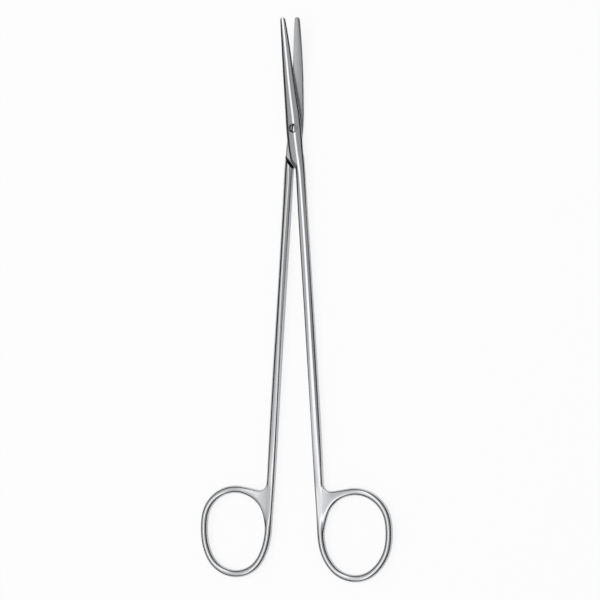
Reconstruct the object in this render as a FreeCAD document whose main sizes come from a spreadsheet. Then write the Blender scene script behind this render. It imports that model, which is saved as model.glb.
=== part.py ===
import FreeCAD, Part
import Sketcher
import math
import os

# Long dissecting scissors, 200 mm, curved on the flat.
# Two forged halves cross in a lap joint and turn on one slotted screw.
# X runs to the right, Y along the scissors with the tips at +Y, Z up towards the viewer.
# The pivot axis is x = y = 0, and z = 0 is the surface that the scissors lie on.
# Each half is drawn closed, about the joint's middle plane, and then opened by half the opening.

doc = FreeCAD.newDocument("DissectingScissors")

# Driving sizes in millimetres, angles in degrees
sizes = [
    ("opening", 5.5, "angle between the halves as they lie, from closed"),
    ("joint_height", 2.3, "from the middle plane to the ridge at the joint"),
    ("lap_gap", 0.1, "running gap between the two inner faces"),
    ("shoulder_gap", 0.2, "gap left at the shoulder when closed"),
    ("flat_radius", 5.25, "the inner face is flat out to here"),
    ("bend_angle", 5.1, "upward slope where the blade's curve starts"),
    ("curve_radius", 300, "radius of the blade's curve on the flat"),
    ("blade_length", 38.9, "pivot to tip"),
    ("tip_left", -1.65, "tip: back edge"),
    ("tip_right", 0.2, "tip: cutting edge"),
    ("tip_ridge", -0.6, "tip: ridge line"),
    ("tip_side", 0.35, "tip: height of the side walls"),
    ("tip_top", 0.95, "tip: height of the ridge"),
    ("fore_y", 30, "fore blade: distance from the pivot"),
    ("fore_left", -2.2, "fore blade: back edge"),
    ("fore_right", 0.8, "fore blade: cutting edge"),
    ("fore_ridge", -0.6, "fore blade: ridge line"),
    ("fore_side", 0.5, "fore blade: height of the side walls"),
    ("fore_top", 1.3, "fore blade: height of the ridge"),
    ("mid_y", 20, "mid blade: distance from the pivot"),
    ("mid_left", -2.65, "mid blade: back edge"),
    ("mid_right", 1.25, "mid blade: cutting edge"),
    ("mid_ridge", -0.5, "mid blade: ridge line"),
    ("mid_side", 0.7, "mid blade: height of the side walls"),
    ("mid_top", 1.7, "mid blade: height of the ridge"),
    ("heel_y", 9, "blade heel: distance from the pivot"),
    ("heel_left", -2.9, "blade heel: back edge"),
    ("heel_right", 2.05, "blade heel: cutting edge"),
    ("heel_ridge", -0.1, "blade heel: ridge line"),
    ("heel_side", 1.0, "blade heel: height of the side walls"),
    ("heel_top", 2.1, "blade heel: height of the ridge"),
    ("pivot_left", -3.0, "pivot: left edge of the joint"),
    ("pivot_right", 2.75, "pivot: right edge of the joint"),
    ("pivot_ridge", 0.5, "pivot: ridge line"),
    ("joint_side", 1.2, "joint: height of the side walls"),
    ("box_y", -7.5, "joint's lower end: distance from the pivot"),
    ("box_left", -2.5, "joint's lower end: left edge"),
    ("box_right", 3.1, "joint's lower end: right edge"),
    ("box_ridge", 1.05, "joint's lower end: ridge line"),
    ("corner_y", -11.1, "oblique corner, start: distance from the pivot"),
    ("corner_left", -1.75, "oblique corner, start: left edge"),
    ("corner_right", 3.35, "oblique corner, start: right edge"),
    ("corner_ridge", 1.35, "oblique corner, start: ridge line"),
    ("corner_top", 2.25, "oblique corner, start: height of the ridge"),
    ("neck_y", -13.7, "neck: distance from the pivot"),
    ("neck_left", 0.2, "neck: inner edge"),
    ("neck_lean", 0.15, "neck: lean of the inner wall"),
    ("neck_right", 3.45, "neck: outer edge"),
    ("neck_ridge", 1.8, "neck: ridge line"),
    ("neck_side", 1.1, "neck: height of the side walls"),
    ("neck_top", 2.15, "neck: height of the ridge"),
    ("neck_depth", 0.75, "neck: depth below the middle plane"),
    ("neck_drop", 0.15, "neck: crown of the far face"),
    ("shank_y", -45, "upper shank: distance from the pivot"),
    ("shank_left", 0.45, "upper shank: inner edge"),
    ("shank_ridge", 2.35, "upper shank: ridge line"),
    ("shank_side", 0.75, "upper shank: height of the side walls"),
    ("shank_top", 1.6, "upper shank: height of the ridge"),
    ("shank_depth", 1.5, "upper shank: depth below the middle plane"),
    ("shank_drop", 0.4, "upper shank: crown of the far face"),
    ("grip_y", -85, "middle of the shank: distance from the pivot"),
    ("grip_left", 1.15, "middle of the shank: inner edge"),
    ("grip_side", 0.72, "middle of the shank: height of the side walls"),
    ("grip_top", 1.5, "middle of the shank: height of the ridge"),
    ("grip_depth", 1.45, "middle of the shank: depth below the middle plane"),
    ("grip_drop", 0.3, "middle of the shank: crown of the far face"),
    ("handle_y", -125, "shank's end at the web: distance from the pivot"),
    ("handle_left", 1.5, "shank's end at the web: inner edge"),
    ("handle_side", 0.7, "shank's end at the web: height of the side walls"),
    ("handle_top", 1.4, "shank's end at the web: height above and below the middle plane"),
    ("handle_drop", 0.25, "shank's end at the web: crown of the far face"),
    ("bevel", 0.45, "bevel along the shank and joint"),
    ("blade_bevel", 0.25, "bevel along the blade"),
    ("blade_stock", 0.4, "blade: metal under the inner face before it is ground away"),
    ("land", 0.5, "flat along the ridge"),
    ("ring_wire", 2.65, "thickness of the finger ring"),
    ("ring_side", 0.5, "ring: height of the shank's side walls where it ends in the ring"),
    ("ring_inset", 0.15, "ring: depth of the shank's end under the wire's surface"),
    ("web_thickness", 2.1, "plate between shank and ring"),
    ("valley_radius", 2.8, "hollow between shank and ring"),
    ("valley_turn", 10, "slope at which the hollow runs up to the ring"),
    ("ring_top_radius", 12.3, "ring: radius over the top"),
    ("ring_foot_radius", 11.2, "ring: radius round the foot"),
    ("upper_shank_width", 3.35, "upper half: shank width"),
    ("upper_handle_width", 3.3, "upper half: shank width at the web"),
    ("upper_ring_x", 15.6, "upper half: ring centre"),
    ("upper_ring_y", -144.5, "upper half: row where the ring is widest"),
    ("upper_ring_half", 12.7, "upper half: ring centreline, half width"),
    ("upper_ring_rise", 15.9, "upper half: ring centreline, height over the widest row"),
    ("upper_ring_drop", 14.85, "upper half: ring centreline, depth under the widest row"),
    ("upper_ring_lean", 6.8, "upper half: lean of the ring's top away from the shank"),
    ("lower_shank_width", 3.0, "lower half: shank width"),
    ("lower_handle_width", 3.0, "lower half: shank width at the web"),
    ("lower_ring_x", 15.5, "lower half: ring centre"),
    ("lower_ring_y", -143.7, "lower half: row where the ring is widest"),
    ("lower_ring_half", 12.36, "lower half: ring centreline, half width"),
    ("lower_ring_rise", 14.85, "lower half: ring centreline, height over the widest row"),
    ("lower_ring_drop", 15.5, "lower half: ring centreline, depth under the widest row"),
    ("lower_ring_lean", 0, "lower half: lean of the ring's top away from the shank"),
    ("screw_radius", 1.1, "screw: shaft radius"),
    ("screw_fit", 0.05, "screw: radial running gap in the upper half"),
    ("thread_fit", 0.01, "screw: radial gap of the thread in the lower half"),
    ("head_radius", 1.65, "screw: head radius"),
    ("head_seat", 1.2, "screw: height of the head's seat over the middle plane"),
    ("head_rise", 0.05, "screw: head's height over the ridge"),
    ("head_edge", 0.12, "screw: bevel round the head"),
    ("slot_width", 0.6, "screw: slot width"),
    ("slot_depth", 0.6, "screw: slot depth"),
    ("slot_turn", 84, "screw: direction of the slot from +X"),
]
sheet = doc.addObject("Spreadsheet::Sheet", "Sizes")
for row, (name, value, note) in enumerate(sizes, start=1):
    sheet.set("A%d" % row, name)
    sheet.set("B%d" % row, str(value))
    sheet.set("C%d" % row, note)
    sheet.setAlias("B%d" % row, name)
doc.recompute()

clear_of = "20"  # height over and under every face of the scissors
clear_side = "8"  # distance past both sides of the joint
past_tip = "(Sizes.blade_length + 3)"  # where cuts over the blade end
least_cut = 0.01  # mm3, what a cut takes away at least


def plane(body, role):
    for feature in body.Origin.OriginFeatures:
        if feature.Role == role:
            return feature


def new_sketch(body, name, role, height="0"):
    sketch = body.newObject("Sketcher::SketchObject", name)
    sketch.AttachmentSupport = [(plane(body, role), "")]
    sketch.MapMode = "FlatFace"
    sketch.setExpression("AttachmentOffset.Base.z", height)
    return sketch


def worth(text):
    """Number that an expression over the sheet has now."""
    return float(sheet.evalExpression(text))


def fix(sketch, kind, places, text):
    """Add a driving constraint and tie it to the sheet."""
    index = sketch.addConstraint(Sketcher.Constraint(kind, *places, worth(text)))
    sketch.setExpression("Constraints[%d]" % index, text)


def pin(sketch, piece, point, x, y):
    """Tie one point of the sketch to two expressions."""
    fix(sketch, "DistanceX", (-1, 1, piece, point), x)
    fix(sketch, "DistanceY", (-1, 1, piece, point), y)


def draw_polygon(sketch, corners):
    points = [FreeCAD.Vector(worth(x), worth(y), 0) for x, y in corners]
    count = len(points)
    for i in range(count):
        sketch.addGeometry(Part.LineSegment(points[i], points[(i + 1) % count]), False)
    for i in range(count):
        sketch.addConstraint(Sketcher.Constraint("Coincident", i, 2, (i + 1) % count, 1))
    for i, (x, y) in enumerate(corners):
        pin(sketch, i, 1, x, y)


def draw_circle(sketch, x, y, radius):
    centre = FreeCAD.Vector(worth(x), worth(y), 0)
    circle = Part.Circle(centre, FreeCAD.Vector(0, 0, 1), worth(radius))
    piece = sketch.addGeometry(circle, False)
    pin(sketch, piece, 3, x, y)
    fix(sketch, "Radius", (piece,), radius)


def draw_arc(sketch, first, middle, last):
    """Arc through three points. Returns its number and which of its ends is the first point."""
    piece = sketch.addGeometry(Part.Arc(first, middle, last), False)
    start = sketch.getPoint(piece, 1)
    return piece, (1 if start.distanceToPoint(first) < start.distanceToPoint(last) else 2)


def other(end):
    """Sketcher numbers the two ends of a piece 1 and 2."""
    return 2 if end == 1 else 1


def close_chain(sketch, chain):
    """Join pieces end to end: each link is a piece, its first end and its last."""
    for i, link in enumerate(chain):
        following = chain[(i + 1) % len(chain)]
        sketch.addConstraint(Sketcher.Constraint("Coincident", link[0], link[2],
                                                 following[0], following[1]))


# The blade's curve: height of the inner face at a distance from the pivot axis
slope_run = "Sizes.curve_radius * sin(Sizes.bend_angle * 1 deg)"
slope_height = "Sizes.curve_radius * cos(Sizes.bend_angle * 1 deg)"


def rise(reach):
    run = "(%s) - Sizes.flat_radius + %s" % (reach, slope_run)
    return "(%s - sqrt(Sizes.curve_radius ^ 2 - (%s) ^ 2))" % (slope_height, run)


def station(y, left, right, ridge, side, top, depth, drop="0", lean="0", bevel="Sizes.bevel", lift="0"):
    """One cross-section of a half: where it is and the twelve corners round it."""
    return {"y": y, "lift": lift, "corners": [
        (f"{left} + {lean}", f"{bevel} + {drop} - ({depth})"),
        (f"{left} - {lean}", side),
        (f"{left} - {lean} + {bevel}", f"{side} + {bevel}"),
        (f"{ridge} - Sizes.land / 2", top),
        (f"{ridge} + Sizes.land / 2", top),
        (f"{right} - {bevel}", f"{side} + {bevel}"),
        (right, side),
        (right, f"{bevel} + {drop} - ({depth})"),
        (f"{right} - {bevel}", f"{drop} - ({depth})"),
        (f"{ridge} + Sizes.land / 2", f"-({depth})"),
        (f"{ridge} - Sizes.land / 2", f"-({depth})"),
        (f"{left} + {lean} + {bevel}", f"{drop} - ({depth})"),
    ]}


def blade_station(name, y):
    return station(y, f"Sizes.{name}_left", f"Sizes.{name}_right", f"Sizes.{name}_ridge",
                   f"Sizes.{name}_side", f"Sizes.{name}_top", "Sizes.blade_stock",
                   bevel="Sizes.blade_bevel", lift=rise(y))


def joint_station(name, y, top):
    return station(y, f"Sizes.{name}_left", f"Sizes.{name}_right", f"Sizes.{name}_ridge",
                   "Sizes.joint_side", top, "Sizes.neck_depth", "Sizes.neck_drop")


def handle_stations(half):
    """The shank's cross-sections, from the neck down to the ring's widest row."""
    hub = f"Sizes.{half}_ring_x - Sizes.{half}_ring_half"
    buried = "(Sizes.ring_wire / 2 - Sizes.ring_inset)"
    return [
        station("Sizes.neck_y", "Sizes.neck_left", "Sizes.neck_right", "Sizes.neck_ridge",
                "Sizes.neck_side", "Sizes.neck_top", "Sizes.neck_depth", "Sizes.neck_drop",
                "Sizes.neck_lean"),
        station("Sizes.shank_y", "Sizes.shank_left", f"Sizes.shank_left + Sizes.{half}_shank_width",
                "Sizes.shank_ridge", "Sizes.shank_side", "Sizes.shank_top", "Sizes.shank_depth",
                "Sizes.shank_drop"),
        station("Sizes.grip_y", "Sizes.grip_left", f"Sizes.grip_left + Sizes.{half}_shank_width",
                f"Sizes.grip_left + Sizes.{half}_shank_width / 2",
                "Sizes.grip_side", "Sizes.grip_top", "Sizes.grip_depth", "Sizes.grip_drop"),
        station("Sizes.handle_y", "Sizes.handle_left",
                f"Sizes.handle_left + Sizes.{half}_handle_width",
                f"Sizes.handle_left + Sizes.{half}_handle_width / 2",
                "Sizes.handle_side", "Sizes.handle_top", "Sizes.handle_top", "Sizes.handle_drop"),
        station(f"Sizes.{half}_ring_y", f"{hub} - {buried}", f"{hub} + {buried}", hub,
                "Sizes.ring_side", buried, buried, "Sizes.handle_drop"),
    ]


def draw_station(body, name, sign, section):
    """The lower half is the upper one turned over, so its corners change sign, but not the lift."""
    sketch = new_sketch(body, name, "XZ_Plane", f"-({section['y']})")
    draw_polygon(sketch, [(f"{sign} * ({x})", f"{section['lift']} + {sign} * ({z})")
                          for x, z in section["corners"]])
    return sketch


def add_loft(body, name, sketches, ruled):
    loft = body.newObject("PartDesign::AdditiveLoft", name)
    loft.Profile = sketches[0]
    loft.Sections = sketches[1:]
    loft.Ruled = ruled
    doc.recompute()
    return loft


def add_bar(body, half, sign):
    """Blade, joint and shank, forged in one."""
    blade = [
        blade_station("tip", "Sizes.blade_length"),
        blade_station("fore", "Sizes.fore_y"),
        blade_station("mid", "Sizes.mid_y"),
        blade_station("heel", "Sizes.heel_y"),
        joint_station("pivot", "0", "Sizes.joint_height"),
        joint_station("box", "Sizes.box_y", "Sizes.joint_height"),
    ]
    corner = joint_station("corner", "Sizes.corner_y", "Sizes.corner_top")
    blade_sketches = [draw_station(body, f"{half}_blade_{i}", sign, s) for i, s in enumerate(blade)]
    corner_sketch = draw_station(body, f"{half}_corner", sign, corner)
    shank_sketches = [draw_station(body, f"{half}_shank_{i}", sign, s)
                      for i, s in enumerate(handle_stations(half))]
    add_loft(body, f"{half}_blade", blade_sketches, False)
    add_loft(body, f"{half}_neck", [blade_sketches[-1], corner_sketch, shank_sketches[0]], True)
    add_loft(body, f"{half}_shank", shank_sketches, False)


def add_ring(body, half, sign):
    """Oval finger ring: round wire along six tangent arcs, in a sketch about the ring's centre."""
    x = f"{sign} * Sizes.{half}_ring_x"
    y = f"Sizes.{half}_ring_y"
    turn = f"{-sign} * Sizes.{half}_ring_lean"
    wide = f"Sizes.{half}_ring_half"
    high = f"Sizes.{half}_ring_rise"
    deep = f"Sizes.{half}_ring_drop"
    over = "Sizes.ring_top_radius"
    under = "Sizes.ring_foot_radius"
    a = worth(wide)

    def side_arc(reach, end_radius):
        """How far past the middle the side arc's centre lies, and where it meets the end arc."""
        gap = reach - end_radius
        past = (gap ** 2 - (a - end_radius) ** 2) / (2 * (a - end_radius))
        angle = math.atan2(gap, past)
        return past, angle

    path = new_sketch(body, f"{half}_ring_path", "XY_Plane")
    path.setExpression("AttachmentOffset.Base.x", x)
    path.setExpression("AttachmentOffset.Base.y", y)
    path.setExpression("AttachmentOffset.Rotation.Angle", turn)
    ends = {}
    for up, reach, end_radius in ((1, worth(high), worth(over)), (-1, worth(deep), worth(under))):
        past, angle = side_arc(reach, end_radius)
        big = a + past
        crown = FreeCAD.Vector(0, up * reach, 0)
        corners = []
        for way in (1, -1):
            def at(part):
                return FreeCAD.Vector(way * (big * math.cos(part) - past), up * big * math.sin(part), 0)
            piece, first = draw_arc(path, at(0), at(angle / 2), at(angle))
            ends[(up, way)] = (piece, first)
            corners.append(at(angle))
        piece, first = draw_arc(path, corners[0], crown, corners[1])
        ends[(up, 0)] = (piece, first)

    def tangent(one, one_end, other, other_end):
        path.addConstraint(Sketcher.Constraint("Tangent", one, one_end, other, other_end))

    for up in (1, -1):
        end_arc, end_first = ends[(up, 0)]
        for way in (1, -1):
            side, side_first = ends[(up, way)]
            tangent(side, other(side_first), end_arc, end_first if way == 1 else other(end_first))
            fix(path, "DistanceY", (-1, 1, side, 3), "0")
        pin(path, end_arc, 3, "0", f"{high} - {over}" if up == 1 else f"{under} - {deep}")
        fix(path, "Radius", (end_arc,), over if up == 1 else under)
    for way in (1, -1):
        top_side, top_first = ends[(1, way)]
        foot_side, foot_first = ends[(-1, way)]
        tangent(top_side, top_first, foot_side, foot_first)
        fix(path, "DistanceX", (-1, 1, top_side, top_first), f"{way} * {wide}")

    wire = new_sketch(body, f"{half}_ring_wire", "XZ_Plane", f"-({y})")
    upright = FreeCAD.Vector(0, 1, 0)
    wire.AttachmentOffset = FreeCAD.Placement(FreeCAD.Vector(), FreeCAD.Rotation(upright, worth(turn)))
    wire.setExpression("AttachmentOffset.Base.x", x)
    wire.setExpression("AttachmentOffset.Rotation.Angle", turn)
    draw_circle(wire, f"{sign} * {wide}", "0", "Sizes.ring_wire / 2")
    ring = body.newObject("PartDesign::AdditivePipe", f"{half}_ring")
    ring.Profile = wire
    ring.Spine = (path, [])
    doc.recompute()


def add_web(body, half, sign):
    """Flat plate in the corner between the shank and the ring."""
    hollow = "Sizes.valley_radius"
    wall = f"(Sizes.handle_left + Sizes.{half}_handle_width)"
    inside = f"{wall} - Sizes.{half}_handle_width / 2"
    slope = "Sizes.valley_turn * 1 deg"

    # centre of the arc over the ring's top
    lean = f"Sizes.{half}_ring_lean * 1 deg"
    back = f"(Sizes.{half}_ring_rise - Sizes.ring_top_radius)"
    crown_x = f"Sizes.{half}_ring_x + {back} * sin({lean})"
    crown_y = f"Sizes.{half}_ring_y + {back} * cos({lean})"

    def on_ring(turn, out="0"):
        """Point on the centreline over the ring's top, or outside it, by its angle from the shank."""
        return (f"{crown_x} - (Sizes.ring_top_radius + {out}) * cos({turn})",
                f"{crown_y} + (Sizes.ring_top_radius + {out}) * sin({turn})")

    # the hollow is as high as a straight edge needs that touches both it and the ring
    touch = on_ring(f"90 deg - {slope}", "Sizes.ring_wire / 2")
    top = (f"{touch[1]} + ({wall} + {hollow} - ({touch[0]})) * tan({slope})"
           f" + {hollow} / cos({slope})")
    corners = [(inside, top), (wall, top),
               (f"{wall} + {hollow} * (1 + sin({slope}))", f"{top} - {hollow} * cos({slope})"),
               touch, on_ring("72 deg"), on_ring("50 deg"), on_ring("28 deg"), on_ring("5 deg")]
    web = new_sketch(body, f"{half}_web_outline", "XY_Plane", "-Sizes.web_thickness / 2")
    points = [FreeCAD.Vector(sign * worth(px), worth(py), 0) for px, py in corners]
    count = len(points)
    centre = points[1] + FreeCAD.Vector(sign, 0, 0) * worth(hollow)
    middle = centre - FreeCAD.Vector(sign, 1, 0) * math.sqrt(0.5) * worth(hollow)
    chain = []
    for i in range(count):
        last = points[(i + 1) % count]
        if i == 1:
            arc, first = draw_arc(web, points[i], middle, last)
            chain.append((arc, first, other(first)))
        else:
            chain.append((web.addGeometry(Part.LineSegment(points[i], last), False), 1, 2))
    close_chain(web, chain)
    for link, (px, py) in zip(chain, corners):
        pin(web, link[0], link[1], f"{sign} * ({px})", py)
    fix(web, "Radius", (arc,), hollow)
    pad = body.newObject("PartDesign::Pad", f"{half}_web")
    pad.Profile = web
    pad.setExpression("Length", "Sizes.web_thickness")
    doc.recompute()


def cut(body, feature):
    """Recompute and make sure that the cut took metal away."""
    before = feature.BaseFeature.Shape.Volume
    doc.recompute()
    if feature.Shape.Volume > before - least_cut:
        raise ValueError(feature.Name + " cuts nothing")


def cut_lap(body, half, sign):
    """Take away the other half's share: flat at the joint up to the oblique shoulder, then curved."""
    # the other half's oblique edge, from its corner to its neck, moved out by the shoulder gap
    neck = "(Sizes.neck_left + Sizes.neck_lean)"
    run = f"(-Sizes.corner_left + {neck})"
    drop = "(Sizes.corner_y - Sizes.neck_y)"
    length = f"sqrt({run} ^ 2 + {drop} ^ 2)"
    gap_x = f"Sizes.shoulder_gap * {length} / {drop}"
    inner = "Sizes.pivot_left"

    def shoulder_y(x):
        return f"Sizes.corner_y + ({x} + Sizes.corner_left - {gap_x}) * {drop} / {run}"

    half_gap = f"{sign} * Sizes.lap_gap / 2"
    lap = new_sketch(body, f"{half}_lap_outline", "XY_Plane", half_gap)
    draw_polygon(lap, [
        (f"{sign} * {clear_side}", shoulder_y(clear_side)),
        (f"{sign} * {clear_side}", "Sizes.flat_radius"),
        (f"{sign} * -{clear_side}", "Sizes.flat_radius"),
        (f"{sign} * -{clear_side}", shoulder_y(inner)),
        (f"{sign} * {inner}", shoulder_y(inner))])
    pocket = body.newObject("PartDesign::Pocket", f"{half}_lap")
    pocket.Profile = lap
    pocket.Type = "ThroughAll"
    pocket.Reversed = sign < 0
    cut(body, pocket)

    face = new_sketch(body, f"{half}_inner_face", "YZ_Plane")
    halfway = f"(Sizes.flat_radius + {past_tip}) / 2"
    outside = f"{-sign} * {clear_of}"
    near = ("Sizes.flat_radius", half_gap)
    over = (past_tip, f"{rise(past_tip)} + {half_gap}")
    corners = [near, over, (past_tip, outside), ("Sizes.flat_radius", outside)]
    middle = FreeCAD.Vector(worth(halfway), worth(f"{rise(halfway)} + {half_gap}"), 0)
    points = [FreeCAD.Vector(worth(px), worth(py), 0) for px, py in corners]
    arc, first = draw_arc(face, points[0], middle, points[1])
    chain = [(arc, first, other(first))]
    for i in (1, 2, 3):
        line = face.addGeometry(Part.LineSegment(points[i], points[(i + 1) % 4]), False)
        chain.append((line, 1, 2))
    close_chain(face, chain)
    for link, (px, py) in zip(chain, corners):
        pin(face, link[0], link[1], px, py)
    fix(face, "Radius", (arc,), "Sizes.curve_radius")
    groove = body.newObject("PartDesign::Groove", f"{half}_inner_grind")
    groove.Profile = face
    groove.ReferenceAxis = (face, ["V_Axis"])
    groove.Midplane = True
    groove.Angle = 90
    cut(body, groove)


def round_tip(body, half, sign):
    """Blunt tip: a half circle as wide as the blade's end."""
    middle = f"{sign} * (Sizes.tip_left + Sizes.tip_right) / 2"
    radius = "(Sizes.tip_right - Sizes.tip_left) / 2"
    shoulder = f"Sizes.blade_length - {radius}"
    tip = new_sketch(body, f"{half}_tip_outline", "XY_Plane", f"-{clear_of}")
    # clockwise from the arc's left end, with the arc as the first piece
    corners = [(f"{middle} - {radius}", shoulder), (f"{middle} + {radius}", shoulder),
               (f"{middle} + 2 * {radius}", shoulder), (f"{middle} + 2 * {radius}", past_tip),
               (f"{middle} - 2 * {radius}", past_tip), (f"{middle} - 2 * {radius}", shoulder)]
    points = [FreeCAD.Vector(worth(px), worth(py), 0) for px, py in corners]
    crown = FreeCAD.Vector(worth(middle), worth("Sizes.blade_length"), 0)
    arc, first = draw_arc(tip, points[0], crown, points[1])
    chain = [(arc, first, other(first))]
    for i in range(1, len(points)):
        line = tip.addGeometry(Part.LineSegment(points[i], points[(i + 1) % len(points)]), False)
        chain.append((line, 1, 2))
    close_chain(tip, chain)
    for link, (px, py) in list(zip(chain, corners))[2:]:
        pin(tip, link[0], link[1], px, py)
    pin(tip, arc, 3, middle, shoulder)
    fix(tip, "Radius", (arc,), radius)
    for end in (first, other(first)):
        fix(tip, "DistanceY", (-1, 1, arc, end), shoulder)
    pocket = body.newObject("PartDesign::Pocket", f"{half}_tip")
    pocket.Profile = tip
    pocket.Type = "ThroughAll"
    pocket.Reversed = True
    cut(body, pocket)


def bore(body, name, radius, floor=None):
    """Round hole on the pivot axis, drilled from above."""
    outline = new_sketch(body, name + "_outline", "XY_Plane", clear_of)
    draw_circle(outline, "0", "0", radius)
    pocket = body.newObject("PartDesign::Pocket", name)
    pocket.Profile = outline
    if floor:
        pocket.setExpression("Length", f"{clear_of} - {floor}")
    else:
        pocket.Type = "ThroughAll"
    cut(body, pocket)


def make_half(half, sign):
    body = doc.addObject("PartDesign::Body", half)
    body.Label = half + "_half"
    add_bar(body, half, sign)
    add_ring(body, half, sign)
    add_web(body, half, sign)
    cut_lap(body, half, sign)
    round_tip(body, half, sign)
    return body


def settle(body, turn):
    """Lay the piece down, opened by its share of the opening."""
    body.setExpression("Placement.Base.z", "Sizes.joint_height")
    body.setExpression("Placement.Rotation.Angle", f"{turn} * Sizes.opening / 2")


# Upper half: runs on the screw, with a seat for its head
upper = make_half("upper", 1)
bore(upper, "upper_bore", "Sizes.screw_radius + Sizes.screw_fit")
bore(upper, "upper_head_seat", "Sizes.head_radius + Sizes.screw_fit", "Sizes.head_seat")
settle(upper, 1)

# Lower half: holds the screw in its thread
lower = make_half("lower", -1)
bore(lower, "lower_thread", "Sizes.screw_radius + Sizes.thread_fit")
settle(lower, -1)

# Pivot screw: its end is ground flush with the underside
screw = doc.addObject("PartDesign::Body", "screw")
screw.Label = "pivot_screw"
profile = new_sketch(screw, "screw_profile", "XZ_Plane")
head_top = "Sizes.joint_height + Sizes.head_rise"
draw_polygon(profile, [
    ("0", "-Sizes.joint_height"), ("Sizes.screw_radius", "-Sizes.joint_height"),
    ("Sizes.screw_radius", "Sizes.head_seat + Sizes.lap_gap"),
    ("Sizes.head_radius", "Sizes.head_seat + Sizes.lap_gap"),
    ("Sizes.head_radius", f"{head_top} - Sizes.head_edge"),
    ("Sizes.head_radius - Sizes.head_edge", head_top), ("0", head_top)])
turned = screw.newObject("PartDesign::Revolution", "screw_turned")
turned.Profile = profile
turned.ReferenceAxis = (profile, ["V_Axis"])
turned.Angle = 360
doc.recompute()
slot = new_sketch(screw, "slot_outline", "XY_Plane", head_top)
slot.setExpression("AttachmentOffset.Rotation.Angle", "Sizes.slot_turn")
reach = "(Sizes.head_radius + Sizes.screw_fit)"
draw_polygon(slot, [
    (f"-{reach}", "-Sizes.slot_width / 2"), (reach, "-Sizes.slot_width / 2"),
    (reach, "Sizes.slot_width / 2"), (f"-{reach}", "Sizes.slot_width / 2")])
slot_cut = screw.newObject("PartDesign::Pocket", "screw_slot")
slot_cut.Profile = slot
slot_cut.setExpression("Length", "Sizes.slot_depth")
cut(screw, slot_cut)
settle(screw, -1)

doc.recompute()
for item in doc.Objects:
    if "Invalid" in item.State or "Error" in item.State:
        raise ValueError(item.Name + " did not build")
pieces = [upper, lower, screw]
for piece in pieces:
    if piece.Shape.isNull() or not piece.Shape.isValid() or len(piece.Shape.Solids) != 1:
        raise ValueError(piece.Label + " is not one valid solid")

os.makedirs("parts", exist_ok=True)
for piece in pieces:
    piece.Shape.exportStep("parts/" + piece.Label + ".step")
    box = piece.Shape.BoundBox
    print(piece.Label, "%.1f x %.1f x %.1f mm" % (box.XLength, box.YLength, box.ZLength),
          "%.0f mm3" % piece.Shape.Volume)
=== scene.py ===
import math

import bmesh
import bpy
from mathutils import Matrix, Vector


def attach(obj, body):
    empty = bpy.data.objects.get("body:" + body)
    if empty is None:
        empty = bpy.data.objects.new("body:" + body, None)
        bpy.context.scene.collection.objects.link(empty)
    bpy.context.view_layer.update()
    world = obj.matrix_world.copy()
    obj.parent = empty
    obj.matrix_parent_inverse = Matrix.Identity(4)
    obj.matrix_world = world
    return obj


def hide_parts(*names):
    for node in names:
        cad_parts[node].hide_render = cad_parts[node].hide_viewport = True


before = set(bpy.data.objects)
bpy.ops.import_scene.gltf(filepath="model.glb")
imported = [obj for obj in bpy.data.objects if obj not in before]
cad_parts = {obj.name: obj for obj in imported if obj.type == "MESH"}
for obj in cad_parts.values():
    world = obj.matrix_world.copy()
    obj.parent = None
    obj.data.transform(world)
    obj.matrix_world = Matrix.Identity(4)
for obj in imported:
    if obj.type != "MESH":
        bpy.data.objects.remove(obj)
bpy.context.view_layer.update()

# Long dissecting scissors, 200 mm over all: two forged halves that turn on a slotted screw.
# Each half is drawn closed and flat, in millimetres, about the joint's middle plane, then
# its blade is bent towards the viewer and the half is laid down, opened by half the opening.

millimetre = 0.001


# Finishes

def linearColour(hexText):
    channels = [int(hexText[i:i + 2], 16) / 255 for i in (1, 3, 5)]
    return [c / 12.92 if c <= 0.04045 else ((c + 0.055) / 1.055) ** 2.4 for c in channels] + [1.0]


def addNode(tree, kind, settings=None, inputs=None, links=None):
    node = tree.nodes.new(kind)
    for name, value in (settings or {}).items():
        setattr(node, name, value)
    for socket, value in (inputs or {}).items():
        node.inputs[socket].default_value = value
    for socket, source in (links or {}).items():
        tree.links.new(source, node.inputs[socket])
    return node


def newMaterial(name):
    material = bpy.data.materials.new(name)
    material.use_nodes = True
    material.node_tree.nodes.clear()
    return material, material.node_tree


steelFinish = {
    "polished": ("#C6C8CB", "#D6D7D9"),  # hardened stainless steel, in the grind's valleys and on top
    "ground": ("#ADAFB2", "#BEBFC1"),    # the same left from the grinding wheel, a little greyer
    "grooveShade": ("#2E2F31", "#3A3B3D"),    # painted shade in the groove at the lap's end; never polished
    "grainWidth": 0.35,        # mm across the grind lines; real ones are 0.02 mm, too fine to show
    "grainLength": 9.0,        # mm along the piece
}


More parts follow.
